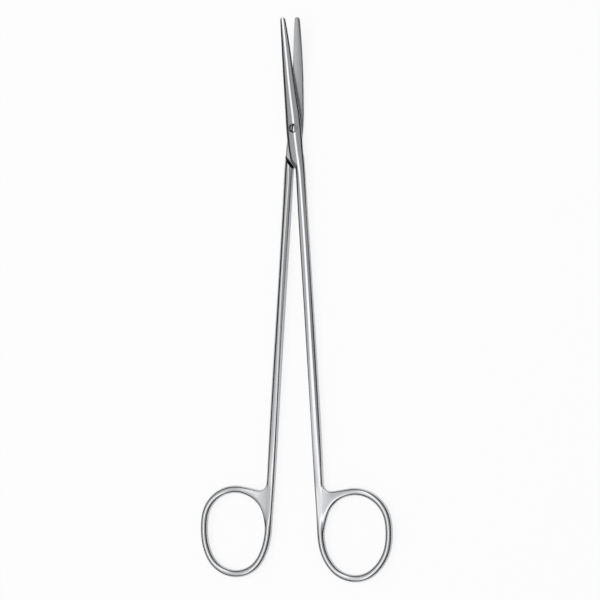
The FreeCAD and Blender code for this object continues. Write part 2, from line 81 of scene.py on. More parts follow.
def groundSteel(name, smoothest, roughest, bumpDepth, across, colours):
    # Stainless steel ground on a belt and polished: long soft streaks that follow the piece.
    # The UV map holds millimetres: across the piece and along it.
    material, tree = newMaterial(name)
    place = addNode(tree, "ShaderNodeUVMap", {"uv_map": "grain"})
    width = 1 / steelFinish["grainWidth"]
    length = 1 / steelFinish["grainLength"]
    scale = (length, width, 1) if across else (width, length, 1)
    turned = addNode(tree, "ShaderNodeMapping", None, {"Scale": scale}, {"Vector": place.outputs["UV"]})
    streaks = addNode(tree, "ShaderNodeTexNoise", None, {"Scale": 1.0, "Detail": 4.0, "Roughness": 0.6},
                      {"Vector": turned.outputs["Vector"]})
    colour = addNode(tree, "ShaderNodeMix", {"data_type": "RGBA"}, None,
                     {"Factor": streaks.outputs["Fac"]})
    colour.inputs["A"].default_value = linearColour(colours[0])
    colour.inputs["B"].default_value = linearColour(colours[1])
    rough = addNode(tree, "ShaderNodeMapRange", None,
                    {"From Min": 0.3, "From Max": 0.7, "To Min": smoothest, "To Max": roughest},
                    {"Value": streaks.outputs["Fac"]})
    bump = addNode(tree, "ShaderNodeBump", None, {"Strength": 1.0, "Distance": bumpDepth * millimetre},
                   {"Height": streaks.outputs["Fac"]})
    steel = addNode(tree, "ShaderNodeBsdfPrincipled", None, {"Metallic": 1.0},
                    {"Base Color": colour.outputs["Result"], "Roughness": rough.outputs["Result"],
                     "Normal": bump.outputs["Normal"]})
    addNode(tree, "ShaderNodeOutputMaterial", None, None, {"Surface": steel.outputs["BSDF"]})
    return material


satinSteel = groundSteel("satinStainlessSteel", 0.15, 0.24, 0.0012, False, steelFinish["polished"])
innerFaceSteel = groundSteel("groundInnerFaceSteel", 0.4, 0.5, 0.0015, True, steelFinish["ground"])
# the groove at the lap's end gets dark steel: painted shade
grooveShadeSteel = groundSteel("paintedGrooveShadeSteel", 0.5, 0.6, 0.002, True, steelFinish["grooveShade"])
print("finishes made")


# One half: blade, joint, shank, web and finger ring are a single forging

jointShape = {
    "middleHeight": 2.3,   # middle plane over the surface that the scissors lie on
    "opening": 5.5,        # degrees between the halves
    "lapGap": 0.1,         # between the inner faces
    "hollow": 0.12,        # hollow grinding of the inner faces
    "flatRadius": 5.25,    # the blade's curve starts here
    "bendAngle": 5.1,
    "curveRadius": 300.0,
    "boreRadius": 1.15,
    "seatRadius": 1.7,
    "seatHeight": 1.2,
    "boreFacets": 96,
    "seatFacets": 128,
    "cutterLength": 20.0,
}
sectionShape = {
    "wire": 2.65,          # thickness of the ring's wire
    "backRidge": -0.6,     # the back's ridge lies this far from the front's
    "ridgeEnds": ((-12, 6), (-126, 20)),  # y where it leaves the front's and joins it again, and the runs
    "edgeTurn": 0.3,       # sharper outer corners are rounded by this
    "roundShare": 0.45,    # of the wall's height, which such a rounding takes at most
    "draft": 0.2,          # the wall above the cutting edge leans out by this share of its height
    "spine": 0.35,         # chamfer between the inner face and the blunt edge
    "spineShare": 0.2,     # of the width, which it takes at most
    "heel": 0.35,          # the same on the other edge below the pivot
    "heelRun": 4,          # it grows over this length
    "heelRise": 0.6,       # its height as a share of its width
    "heelShare": 0.08,     # of the width, which it takes at least
    "hollowSides": (0.3, 0.7),  # shares of the width where the hollow is deepest
    "landShare": 0.3,      # of the width, which the ridge's flat takes at most
    "leftShare": 0.25,     # the same for the left bevel
    "rightShare": 0.22,    # the same for the right bevel
    "crispAngle": 40,      # degrees; steeper edges stay crisp
}
sectionNames = ("along", "left", "right", "ridge", "top", "depth", "lean")
bladeRows = [  # one row for each section, in the order of sectionNames
    (-38.9, -1.65, 0.2, -0.65, 0.95, 0, 0),
    (-30.0, -2.2, 0.8, -0.6, 1.3, 0, 0),
    (-20.0, -2.65, 1.25, -0.5, 1.7, 0, 0),
    (-9.0, -2.9, 2.05, -0.1, 2.1, 0, 0),
    (0.0, -3.0, 2.85, 0.5, 2.3, 0, 0),
    (7.5, -2.5, 3.1, 1.05, 2.3, 0, 0),
]
neckRows = [
    (7.5, -2.5, 3.1, 1.05, 2.3, 0.75, 0),
    (11.6, -1.85, 3.35, 1.4, 2.25, 0.75, 0),
    (14.2, 0.2, 3.45, 1.8, 2.15, 0.75, 0.15),
]
halfShapes = {
    "upper": {"shankWidth": 3.35, "handleWidth": 3.3, "ringX": 15.6, "ringY": -144.5,
              "ringHalf": 12.7, "ringRise": 15.9, "ringDrop": 14.85, "ringLean": 6.8},
    "lower": {"shankWidth": 3.0, "handleWidth": 3.0, "ringX": 15.5, "ringY": -143.7,
              "ringHalf": 12.36, "ringRise": 14.85, "ringDrop": 15.5, "ringLean": 0},
}
ringShape = {
    "topRadius": 12.3,
    "footRadius": 11.2,
    "hollowRadius": 2.8,   # of the hollow between the shank and the ring
    "hollowTurn": 10,      # degrees that the web's upper edge rises
    "webTop": 187,         # degrees round the hollow where the web's first row lies
    "webFoot": 2.2,        # its last row is this far over the ring's middle
    "blend": 4,            # the shank starts to turn into wire this far above the web
    "loops": 20,
}
handleLeft = 1.5                       # the shank's inner edge at the web
tipShape = {
    "turns": (86, 70, 50, 30, 12),     # degrees round the blunt tip, from its end
    "fall": 0.25,                      # the ridge drops by this at the end
    "narrow": 0.3,                     # in sections under this share of the width the flat is squeezed
}
bladePlaces = (35.5, 30, 25, 20, 14.5, 9, 4.5, 0, -4, -7.5)
shankPlaces = (-19.5, -26, -35, -45, -58, -72, -86, -100, -112, -120)
grindNames = ("land", "tilt", "leftFacet", "leftBevel", "leftEdge", "leftOuter",
              "rightFacet", "rightBevel", "rightEdge", "rightOuter")
frontGrind = [  # y, then width and tilt of the flat on the ridge, and for each side the tilt of the
    # facet, width and tilt of the bevel, and the width of the rounding outside it, in degrees and mm
    (38.9, 0.6, 6, 14, 0.65, 28, 0.1, 22, 0.3, 47, 0),
    (0.0, 0.75, 6, 14, 0.85, 28, 0.4, 24, 0.45, 47, 0),
    (-12.0, 0.7, 6, 13, 0.75, 28, 0.3, 25, 0.4, 47, 0),
    (-30.0, 0.7, 6, 10, 0.4, 30, 0.05, 26, 0.25, 56, 0),
    (-75.0, 0.9, 5, 6, 0.4, 32, 0.05, 28, 0.3, 50, 0.15),
    (-100.0, 1.3, 4, 1, 0.35, 36, 0, 28, 0.28, 44, 0.34),
    (-112.0, 1.6, 3, 0, 0.35, 38, 0, 22, 0.28, 44, 0.36),
    (-126.0, 1.9, 0.5, 0, 0.4, 45, 0, 5, 0.28, 44, 0.36),
]
backGrind = [
    (-10.0, 0.4, 1, 24, 0.12, 45, 0.1, 11, 0.7, 28, 0.62),
    (-75.0, 0.5, 1, 24, 0.12, 45, 0.1, 11, 0.7, 28, 0.62),
    (-112.0, 1.2, 0.5, 14, 0.3, 45, 0.1, 6, 0.5, 30, 0.5),
    (-126.0, 1.6, 0.5, 5, 0.35, 45, 0.1, 6, 0.45, 30, 0.4),
]
outerTilts = {"left": 42, "right": 62}   # of the roundings outside the bevels
webRows = (0, 0.06, 0.27, 0.5, 0.75, 1)  # where the web's rows cross the shank, from its top
webLevels = {2: 1.12, 3: 1.1, 4: 1.085, 5: 1.07}  # heights of its flat at the corners there, mm
shoulderShape = {                      # the step and the milled groove where the lap ends: x and y
    "edge": ((-0.1, -14.5), (0.93, -13.75), (2.41, -11.4), (2.9, -10.2)),
    "near": ((-0.2, -13.3), (0.6, -12.4), (2.35, -10.4), (2.9, -9.5)),
    "run": 0.25,                       # from the shoulder's edge to its foot
    "groove": 0.3,                     # depth behind the lap's face
    "nearRun": 0.15,                   # least run from the section before to the groove
    "landing": 0.4,                    # least run of the back beside the shoulder
    "frontRun": 0.12,                  # run of the front across the step, which is on the back alone
}
lapPlaces = (                          # y at the left and right edges, and whether the back is the lap
    (-9.9, -8.3, True), (-11.6, -8.8, True), (-13.0, -9.2, True), (-14.0, -9.44, True),
    (-14.02, -9.45, False),
)
neckPlaces = ((-14.45, -10.6), (-15.6, -13.0), (-17.2, -16.0))
cornerCount = 16                       # round each section
backCorners = range(8, 14)             # those on the back, from its right edge to its left one
roundStep = 360 / cornerCount
subdivisionPull = 0.975                # a smoothed circle of sixteen corners shrinks to this


def naturalSpline(places, values):
    # curvatures of the smooth line through the sections, straight at its ends
    count = len(places)
    widths = [places[i + 1] - places[i] for i in range(count - 1)]
    slopes = [(values[i + 1] - values[i]) / widths[i] for i in range(count - 1)]
    curves = [0.0] * count
    diagonal = [0.0] * count
    right = [0.0] * count
    for i in range(1, count - 1):
        share = widths[i - 1] / diagonal[i - 1] if i > 1 else 0.0
        diagonal[i] = 2 * (widths[i - 1] + widths[i]) - share * (widths[i - 1] if i > 1 else 0.0)
        right[i] = 6 * (slopes[i] - slopes[i - 1]) - share * (right[i - 1] if i > 1 else 0.0)
    for i in range(count - 2, 0, -1):
        curves[i] = (right[i] - widths[i] * curves[i + 1]) / diagonal[i]
    return curves


def rowAt(rows, y, smooth):
    # values of the section at y; rows are ordered by their distance below the pivot
    along = -y
    places = [r[0] for r in rows]
    i = 0
    while i < len(rows) - 2 and along > places[i + 1]:
        i += 1
    width = places[i + 1] - places[i]
    far = (along - places[i]) / width
    near = 1 - far
    found = {}
    for k in range(1, len(sectionNames)):
        values = [r[k] for r in rows]
        value = near * values[i] + far * values[i + 1]
        if smooth:
            curves = naturalSpline(places, values)
            value += ((near ** 3 - near) * curves[i] + (far ** 3 - far) * curves[i + 1]) * width ** 2 / 6
        found[sectionNames[k]] = value
    return found


def grindAt(grind, y):
    # the ground faces at y, between the two stations beside it
    i = 0
    while i < len(grind) - 2 and y < grind[i + 1][0]:
        i += 1
    share = min(max((grind[i][0] - y) / (grind[i][0] - grind[i + 1][0]), 0), 1)
    values = [a + (b - a) * share for a, b in zip(grind[i][1:], grind[i + 1][1:])]
    return dict(zip(grindNames, values))


def groundFace(left, right, ridge, top, grind):
    # six corners from the left edge over the ridge to the right one, by the tilts of the faces
    def fall(run, tilt):
        return run * math.tan(math.radians(grind[tilt]))
    width = right - left
    left += grind["leftOuter"]
    right -= grind["rightOuter"]
    land = min(grind["land"], width * sectionShape["landShare"]) / 2
    leftBevel = min(grind["leftBevel"], width * sectionShape["leftShare"])
    rightBevel = min(grind["rightBevel"], width * sectionShape["rightShare"])
    leftTop = top - fall(max(ridge - land - left - leftBevel, 0.02), "leftFacet")
    ridgeEnd = top - fall(2 * land, "tilt")
    rightTop = ridgeEnd - fall(max(right - rightBevel - ridge - land, 0.02), "rightFacet")
    return [(left, leftTop - fall(leftBevel, "leftEdge")), (left + leftBevel, leftTop), (ridge - land, top),
            (ridge + land, ridgeEnd), (right - rightBevel, rightTop),
            (right, rightTop - fall(rightBevel, "rightEdge"))]


def sectionLoop(leftRow, rightRow, yLeft, yRight, inner):
    # Sixteen corners round the bar: the front from left to right, the right wall, the back
    # from right to left, and the left wall. An inner back is the ground face of the lap.
    ridge = (leftRow["ridge"] + rightRow["ridge"]) / 2
    top = (leftRow["top"] + rightRow["top"]) / 2
    left = leftRow["left"]
    right = rightRow["right"]
    lean = leftRow["lean"]
    y = (yLeft + yRight) / 2
    frontFace = grindAt(frontGrind, y)
    backFace = {"leftOuter": 0, "rightOuter": 0}
    front = groundFace(left - lean, right, ridge, top, frontFace)
    if inner:
        face = jointShape["lapGap"] / 2
        sunk = face + jointShape["hollow"]
        width = right - left
        spine = min(sectionShape["spine"], width * sectionShape["spineShare"])
        heel = sectionShape["heel"] * easeIn(-y / sectionShape["heelRun"])
        near, far = sectionShape["hollowSides"]
        edge = right - sectionShape["draft"] * (front[5][1] - face)
        back = [(edge, face + heel * sectionShape["heelRise"]),
                (edge - max(heel, width * sectionShape["heelShare"]), face),
                (right * far + left * near, sunk), (right * near + left * far, sunk),
                (left + spine, face), (left, face + spine)]
    else:
        backFace = grindAt(backGrind, y)
        (leaves, leaveRun), (joins, joinRun) = sectionShape["ridgeEnds"]
        middle = ridge + (sectionShape["backRidge"] * easeIn((leaves - y) / leaveRun)
                          * easeIn((y - joins) / joinRun))
        back = groundFace(-right, -left - lean, -middle, leftRow["depth"], flipped(backFace))
        back = [(-x, -z) for x, z in back]
    rightWall = wallBetween(front[5], back[0], right,
                            frontFace["rightOuter"], backFace["rightOuter"], "right")
    leftWall = wallBetween(back[5], front[0], left - lean,
                           backFace["leftOuter"], frontFace["leftOuter"], "left")
    flat = front + rightWall + back + leftWall
    slope = (yRight - yLeft) / (right - left)
    return [Vector((x, yLeft + (x - left) * slope, z)) for x, z in flat]


def flipped(grind):
    # the same faces on the half turned over: its right side is on the left
    turned = dict(grind)
    for name in ("Facet", "Bevel", "Edge", "Outer"):
        turned["left" + name] = grind["right" + name]
        turned["right" + name] = grind["left" + name]
    return turned


def wallBetween(a, b, x, outerA, outerB, side):
    # two corners of the wall at x, each as far below its edge as the rounding there needs
    height = abs(b[1] - a[1])
    way = math.copysign(1, b[1] - a[1])
    corners = []
    for start, outer, down in ((a, outerA, way), (b, outerB, -way)):
        tilt = outerTilts[side if start[1] > 0 else ("left" if side == "right" else "right")]
        turn = outer * math.tan(math.radians(tilt)) if outer else sectionShape["edgeTurn"]
        turn = min(turn, height * sectionShape["roundShare"])
        corners.append((x if outer else start[0], start[1] + down * turn))
    return corners


def shankRows(shape):
    hub = shape["ringX"] - shape["ringHalf"]
    reach = sectionShape["wire"] / 2
    width = shape["shankWidth"]
    handle = shape["handleWidth"]
    return [
        neckRows[-1],
        (45.0, 0.45, 0.45 + width, 2.35, 1.6, 1.5, 0),
        (85.0, 1.15, 1.15 + width, 1.15 + width / 2, 1.5, 1.45, 0),
        (125.0, handleLeft, handleLeft + handle, handleLeft + handle / 2, 1.17, 1.17, 0),
        (-shape["ringY"], hub - reach, hub + reach, hub, reach, reach, 0),
    ]


def ringPlace(shape, turn):
    # centre of the ring's wire where the outline faces the direction turn, in degrees
    lean = math.radians(shape["ringLean"])
    facing = math.radians(turn) + lean
    across = math.cos(facing)
    up = math.sin(facing)
    reach, endRadius = ((shape["ringRise"], ringShape["topRadius"]) if up >= 0
                        else (shape["ringDrop"], ringShape["footRadius"]))
    half = shape["ringHalf"]
    gap = reach - endRadius
    past = (gap ** 2 - (half - endRadius) ** 2) / (2 * (half - endRadius))
    if math.atan2(abs(up), abs(across)) <= math.atan2(gap, past):
        x = (half + past) * abs(across) - past
        y = (half + past) * abs(up)
    else:
        x = endRadius * abs(across)
        y = gap + endRadius * abs(up)
    leaning = Matrix.Rotation(-lean, 3, "Z")
    centre = Vector((shape["ringX"], shape["ringY"], 0))
    return (centre + leaning @ Vector((math.copysign(x, across), math.copysign(y, up), 0)),
            leaning @ Vector((across, up, 0)))


def wireLoop(centre, outward):
    radius = sectionShape["wire"] / 2 / subdivisionPull
    loop = []
    for k in range(cornerCount):
        turn = math.radians(roundStep * (1.5 + k))
        loop.append(centre + outward * radius * math.cos(turn) + Vector((0, 0, radius * math.sin(turn))))
    return loop


def lineAt(places, x):
    # height of a bent line at x
    i = 0
    while i < len(places) - 2 and x > places[i + 1][0]:
        i += 1
    (x0, y0), (x1, y1) = places[i:i + 2]
    return y0 + (y1 - y0) * (x - x0) / (x1 - x0)


def mixLoops(a, b, share):
    return [p.lerp(q, share) for p, q in zip(a, b)]


def easeIn(share):
    share = min(max(share, 0), 1)
    return share * share * (3 - 2 * share)


def edgeOfRing(shape, turn, side):
    # point on the outer (1) or inner (-1) edge of the ring
    centre, outward = ringPlace(shape, turn)
    return centre + outward * side * sectionShape["wire"] / 2


def hollowPlace(shape, turn):
    # point on the hollow corner between the shank and the ring's top, where a straight edge
    # that rises by the hollow's turn touches both the hollow and the ring
    radius = ringShape["hollowRadius"]
    slope = math.radians(ringShape["hollowTurn"])
    touch = edgeOfRing(shape, 90 + ringShape["hollowTurn"], 1)
    x = handleLeft + shape["handleWidth"] + radius
    y = touch.y + (x - touch.x) * math.tan(slope) + radius / math.cos(slope)
    return Vector((x + radius * math.cos(math.radians(turn)), y + radius * math.sin(math.radians(turn)), 0))


webShape = {
    "sides": (268, 245, 222, 199),   # degrees round the hollow where the web's loops start
    "insides": (116, 129, 143, 159),  # degrees round the ring where they end
    "flatness": (0.5, 0.9, 1, 1),    # from the ring's round section to the web's flat one
    "heights": (0.78, 1.05, 1.06, 1.06, 1.1, 0.5),  # over the middle plane, from edge to edge
    "rim": 0.42,                     # run of the rim's steep part
    "rimFoot": 0.12,                 # height where it starts
    "shoulder": 0.76,                # width of the rounded edge by the hollow
    "middles": (0.4, 0.66),          # shares of the way across at the corners between
    "lip": 0.8,                      # the rounded edge by the ring's inside
    "edge": 0.18,                    # its last corner is this far from the end
    "crease": 0.5,                   # sharpness of the rim's edges
}


def webLoop(outerEdge, innerEdge, flatness):
    # one loop across the web, from the hollow to the ring's inner edge
    run = innerEdge - outerEdge
    way = run.normalized()
    places = (outerEdge + way * webShape["rim"], outerEdge + way * webShape["shoulder"],
              *(outerEdge + run * share for share in webShape["middles"]),
              innerEdge - way * webShape["lip"], innerEdge - way * webShape["edge"])
    radius = sectionShape["wire"] / 2 / subdivisionPull
    front = []
    for k, (place, height) in enumerate(zip(places, webShape["heights"])):
        onWire = radius * math.sin(math.radians(roundStep * (1.5 + k)))
        front.append((place, onWire + (height - onWire) * flatness))
    low = front[5][1] / 3
    foot = webShape["rimFoot"]
    loop = [Vector((p.x, p.y, z)) for p, z in front]
    loop += [Vector((innerEdge.x, innerEdge.y, z)) for z in (low, -low)]
    loop += [Vector((p.x, p.y, -z)) for p, z in reversed(front)]
    loop += [Vector((outerEdge.x, outerEdge.y, z)) for z in (-foot, foot)]
    return loop


def tipLoops():
    tipY = -bladeRows[0][0]
    row = rowAt(bladeRows, tipY, True)
    middle = (row["left"] + row["right"]) / 2
    radius = (row["right"] - row["left"]) / 2
    loops = []
    for turn in tipShape["turns"]:
        y = tipY - radius + radius * math.sin(math.radians(turn))
        share = math.cos(math.radians(turn))
        whole = rowAt(bladeRows, y, True)
        for side in ("left", "right", "ridge"):
            whole[side] = middle + (whole[side] - middle) * share
        whole["top"] -= tipShape["fall"] * (1 - share)
        loops.append(sectionLoop(whole, whole, y, y, True))
        if share < tipShape["narrow"]:
            squeezeLand(loops[-1], middle, radius * share)
    return loops


def squeezeLand(loop, middle, half):
    # keeps the ridge's flat inside a section that is narrower than it
    for place in loop:
        place.x = min(max(place.x, middle - half), middle + half)


def halfLoops(shape):
    # all loops from the tip down the bar and round the ring, and the number of the first web row
    loops = tipLoops()
    for y in bladePlaces:
        row = rowAt(bladeRows, y, True)
        loops.append(sectionLoop(row, row, y, y, True))
    cornerLoop = len(loops) + 1
    for yLeft, yRight, inner in lapPlaces:
        loops.append(sectionLoop(rowAt(neckRows, yLeft, False), rowAt(neckRows, yRight, False),
                                 yLeft, yRight, inner))
    wallLoop = len(loops) - 2
    for k in range(cornerCount):
        if k not in backCorners:
            loops[-1][k].y -= shoulderShape["frontRun"]
    rows = shankRows(shape)
    for yLeft, yRight in neckPlaces:
        source = neckRows if yRight > -neckRows[-1][0] else rows
        loops.append(sectionLoop(rowAt(rows, yLeft, True), rowAt(source, yRight, source is rows),
                                 yLeft, yRight, False))
    for k in backCorners:  # the groove's near edge, its foot and the shoulder's edge cross the back
        near, foot, edge, below = loops[wallLoop - 1:wallLoop + 3]
        edge[k].y = lineAt(shoulderShape["edge"], edge[k].x)
        near[k].y = min(lineAt(shoulderShape["near"], near[k].x),
                        loops[wallLoop - 2][k].y - shoulderShape["nearRun"])
        foot[k].y = edge[k].y + shoulderShape["run"]
        foot[k].z += shoulderShape["groove"] if k < backCorners[-1] else 0
        below[k].y = min(below[k].y, edge[k].y - shoulderShape["landing"])
    for y in shankPlaces:
        row = rowAt(rows, y, True)
        loops.append(sectionLoop(row, row, y, y, False))
    outward = ringPlace(shape, 180)[1]
    firstWeb = len(loops)
    highest = hollowPlace(shape, ringShape["webTop"]).y
    lowest = shape["ringY"] + ringShape["webFoot"]
    blendStart = highest + ringShape["blend"]
    for i in range(len(webRows) + 1):
        y = highest + (lowest - highest) * webRows[i] if i < len(webRows) else shape["ringY"]
        row = rowAt(rows, y, True)
        bar = sectionLoop(row, row, y, y, False)
        wire = wireLoop(Vector(((row["left"] + row["right"]) / 2, y, 0)), outward)
        share = easeIn((blendStart - y) / (blendStart - shape["ringY"]))
        loop = mixLoops(bar, wire, share)
        if 0 < i < len(webRows) - 1:
            for k, level in webLevels.items():
                loop[k].z = level
                loop[13 - k].z = -level
        loops.append(loop)
    step = (270 + ringShape["hollowTurn"]) / ringShape["loops"]
    for i in range(ringShape["loops"]):
        loops.append(wireLoop(*ringPlace(shape, 180 + step * (i + 1))))
    for side, inside, flatness in zip(webShape["sides"], webShape["insides"], webShape["flatness"]):
        loops.append(webLoop(hollowPlace(shape, side), edgeOfRing(shape, inside, -1), flatness))
    return loops, cornerLoop, wallLoop, firstWeb


bladeCreases = {0: 0.4, 1: 0.55, 2: 0.48, 3: 0.48, 4: 0.5, 5: 0.6, 8: 0.9, 9: 0.6, 12: 0.6, 13: 0.6}
shankCreases = {0: 0.2, 1: 0.4, 2: 0.45, 3: 0.45, 4: 0.45, 5: 0.4, 6: 0.25, 7: 0.25, 8: 0.4, 9: 0.45,
                10: 0.45, 11: 0.45, 12: 0.4, 13: 0.2}
jointCreases = {"groove": 1.0, "corner": 0.8}
creaseEnds = {"blade": -12, "shank": -100, "fade": 26}  # y where each ends, and the run of the last


def creaseOf(column, y):
    # how sharp the lengthwise edges are: crisp on the blade, softer down the shank, none on the ring
    if y > creaseEnds["blade"]:
        return bladeCreases.get(column, 0)
    return shankCreases.get(column, 0) * (1 - easeIn((creaseEnds["shank"] - y) / creaseEnds["fade"]))


def halfCage(half, sign):
    # sign turns the lower half over: it is the upper one rotated by half a turn about Y
    shape = halfShapes[half]
    loops, cornerLoop, wallLoop, firstWeb = halfLoops(shape)
    webCount = len(webShape["sides"])
    lastWeb = firstWeb + len(webRows) - 1
    mesh = bmesh.new()
    crease = mesh.edges.layers.float.new("crease_edge")
    finishNumber = mesh.faces.layers.int.new("finish")  # 0 polished, 1 the lap, 2 the milled groove with painted shade
    grain = mesh.loops.layers.uv.new("grain")
    rings = [[mesh.verts.new((sign * p.x, p.y, sign * p.z)) for p in loop] for loop in loops]
    hole = [rings[firstWeb + i][5] for i in range(len(webRows))]
    hole += [rings[lastWeb][6], rings[lastWeb][7]]
    hole += [rings[lastWeb - i][8] for i in range(len(webRows))]
    hole += [rings[firstWeb][7], rings[firstWeb][6]]
    rings.append(hole)
    lengths = [0.0]
    for i in range(1, len(rings)):
        middle = sum((v.co for v in rings[i]), Vector()) / cornerCount
        before = sum((v.co for v in rings[i - 1]), Vector()) / cornerCount
        lengths.append(lengths[-1] + (middle - before).length)

    def addFace(corners, places, finish):
        face = mesh.faces.new(corners)
        face.smooth = True
        face[finishNumber] = finish
        for corner, (u, v) in zip(face.loops, places):
            corner[grain].uv = (u, v)

    for i in range(len(rings) - 1):
        for k in range(cornerCount):
            following = (k + 1) % cornerCount
            if firstWeb <= i < lastWeb and k in (5, 6, 7):
                continue
            isInner = i < wallLoop - 1 and 8 <= k <= 12
            # the groove's faces take the dark steel, which is painted shade
            isShadedGroove = wallLoop - 1 <= i <= wallLoop and 8 <= k <= 12
            span = 1.0 if k not in (1, 3) else 2.0
            places = [(k, lengths[i]), (k + span, lengths[i]),
                      (k + span, lengths[i + 1]), (k, lengths[i + 1])]
            addFace([rings[i][k], rings[i][following], rings[i + 1][following], rings[i + 1][k]],
                    places, 2 if isShadedGroove else int(isInner))
    tip = rings[0]
    capPlaces = [(k, -1.0) for k in range(6)]
    addFace([tip[1], tip[0], tip[15], tip[14], tip[13], tip[12]], capPlaces, 0)
    for k in range(1, 4):
        addFace([tip[k + 1], tip[k], tip[13 - k], tip[12 - k]], capPlaces[:4], 0)
    addFace([tip[9], tip[8], tip[7], tip[6], tip[5], tip[4]], capPlaces, 0)

    for i in range(len(rings) - 2 - webCount):
        for k in range(cornerCount):
            edge = mesh.edges.get((rings[i][k], rings[i + 1][k]))
            if edge:
                edge[crease] = creaseOf(k, rings[i][k].co.y)
    for i in range(len(rings) - 1 - webCount, len(rings) - 1):
        for k in (0, 1, 12, 13):
            mesh.edges.get((rings[i][k], rings[i + 1][k]))[crease] = webShape["crease"]
    for k in range(8, 13):
        for i in (wallLoop - 1, wallLoop, wallLoop + 1):
            mesh.edges.get((rings[i][k], rings[i][k + 1]))[crease] = jointCreases["groove"]
    for a, b in ((13, 14), (14, 15), (15, 0), (0, 1)):
        mesh.edges.get((rings[cornerLoop][a], rings[cornerLoop][b]))[crease] = jointCreases["corner"]
    for vertex in [v for v in mesh.verts if not v.link_faces]:
        mesh.verts.remove(vertex)
    bmesh.ops.recalc_face_normals(mesh, faces=mesh.faces)
    data = bpy.data.meshes.new(half + "HalfCage")
    mesh.to_mesh(data)
    mesh.free()
    return data


def newTree(name, sockets):
    # a geometry tree with named inputs; returns the tree and its group input node
    tree = bpy.data.node_groups.new(name, "GeometryNodeTree")
    tree.interface.new_socket("Geometry", in_out="INPUT", socket_type="NodeSocketGeometry")
    for socketName, kind in sockets:
        tree.interface.new_socket(socketName, in_out="INPUT", socket_type="NodeSocket" + kind)
    tree.interface.new_socket("Geometry", in_out="OUTPUT", socket_type="NodeSocketGeometry")
    return tree, addNode(tree, "NodeGroupInput")


def calculate(tree, operation, *values):
    node = addNode(tree, "ShaderNodeMath", {"operation": operation})
    for i, value in enumerate(values):
        if isinstance(value, (int, float)):
            node.inputs[i].default_value = value
        else:
            tree.links.new(value, node.inputs[i])
    return node.outputs[0]


def halfTree():
    # smooths the forging, bends its blade on the flat about the pivot and drills it for the screw
    tree, given = newTree("forgedHalf", (
        ("Smoothing", "Int"), ("Flat Radius", "Float"), ("Bend Angle", "Float"), ("Curve Radius", "Float"),
        ("Bore Radius", "Float"), ("Seat Radius", "Float"), ("Seat Height", "Float"),
        ("Outer Finish", "Material"), ("Inner Finish", "Material"), ("Groove Shade Finish", "Material")))
    sockets = given.outputs
    sharp = addNode(tree, "GeometryNodeInputNamedAttribute", {"data_type": "FLOAT"},
                    {"Name": "crease_edge"})
    smooth = addNode(tree, "GeometryNodeSubdivisionSurface", {"uv_smooth": "PRESERVE_BOUNDARIES"}, None,
                     {"Mesh": sockets["Geometry"], "Level": sockets["Smoothing"],
                      "Edge Crease": sharp.outputs["Attribute"]})
    place = addNode(tree, "GeometryNodeInputPosition")
    axes = addNode(tree, "ShaderNodeSeparateXYZ", None, None, {"Vector": place.outputs[0]})
    x, y = axes.outputs["X"], axes.outputs["Y"]
    reach = calculate(tree, "SQRT", calculate(tree, "ADD", calculate(tree, "MULTIPLY", x, x),
                                              calculate(tree, "MULTIPLY", y, y)))
    radius = sockets["Curve Radius"]
    slope = calculate(tree, "RADIANS", sockets["Bend Angle"])
    run = calculate(tree, "ADD", calculate(tree, "SUBTRACT", reach, sockets["Flat Radius"]),
                    calculate(tree, "MULTIPLY", radius, calculate(tree, "SINE", slope)))
    below = calculate(tree, "SQRT", calculate(tree, "SUBTRACT", calculate(tree, "MULTIPLY", radius, radius),
                                              calculate(tree, "MULTIPLY", run, run)))
    rise = calculate(tree, "SUBTRACT",
                     calculate(tree, "MULTIPLY", radius, calculate(tree, "COSINE", slope)), below)
    onBlade = calculate(tree, "MULTIPLY", calculate(tree, "GREATER_THAN", y, 0.0),
                        calculate(tree, "GREATER_THAN", reach, sockets["Flat Radius"]))
    lift = addNode(tree, "ShaderNodeCombineXYZ", None, None,
                   {"Z": calculate(tree, "MULTIPLY", rise, onBlade)})
    bent = addNode(tree, "GeometryNodeSetPosition", None, None,
                   {"Geometry": smooth.outputs[0], "Offset": lift.outputs[0]})
    depth = jointShape["cutterLength"]
    bore = addNode(tree, "GeometryNodeMeshCylinder", None,
                   {"Vertices": jointShape["boreFacets"], "Depth": depth}, {"Radius": sockets["Bore Radius"]})
    seat = addNode(tree, "GeometryNodeMeshCylinder", None,
                   {"Vertices": jointShape["seatFacets"], "Depth": depth}, {"Radius": sockets["Seat Radius"]})
    seatPlace = addNode(tree, "ShaderNodeCombineXYZ", None, None,
                        {"Z": calculate(tree, "ADD", sockets["Seat Height"], depth / 2)})
    seatUp = addNode(tree, "GeometryNodeTransform", None, None,
                     {"Geometry": seat.outputs["Mesh"], "Translation": seatPlace.outputs[0]})
    drilled = bent.outputs[0]
    for cutter in (bore.outputs["Mesh"], seatUp.outputs[0]):
        drill = addNode(tree, "GeometryNodeMeshBoolean", {"operation": "DIFFERENCE", "solver": "EXACT"},
                        None, {"Mesh 1": drilled, "Mesh 2": cutter})
        drilled = drill.outputs["Mesh"]
    number = addNode(tree, "GeometryNodeInputNamedAttribute", {"data_type": "INT"}, {"Name": "finish"})
    real = addNode(tree, "GeometryNodeRealizeInstances", None, None, {"Geometry": drilled})
    finished = addNode(tree, "GeometryNodeSetMaterial", None, None,
                       {"Geometry": real.outputs[0], "Material": sockets["Outer Finish"]})
    for value, socketName in ((1, "Inner Finish"), (2, "Groove Shade Finish")):
        chosen = addNode(tree, "FunctionNodeCompare", {"data_type": "INT", "operation": "EQUAL"},
                         {"B": value}, {"A": number.outputs["Attribute"]})
        finished = addNode(tree, "GeometryNodeSetMaterial", None, None,
                           {"Geometry": finished.outputs[0], "Material": sockets[socketName],
                            "Selection": chosen.outputs["Result"]})
    addNode(tree, "NodeGroupOutput", None, None, {"Geometry": finished.outputs[0]})
    return tree


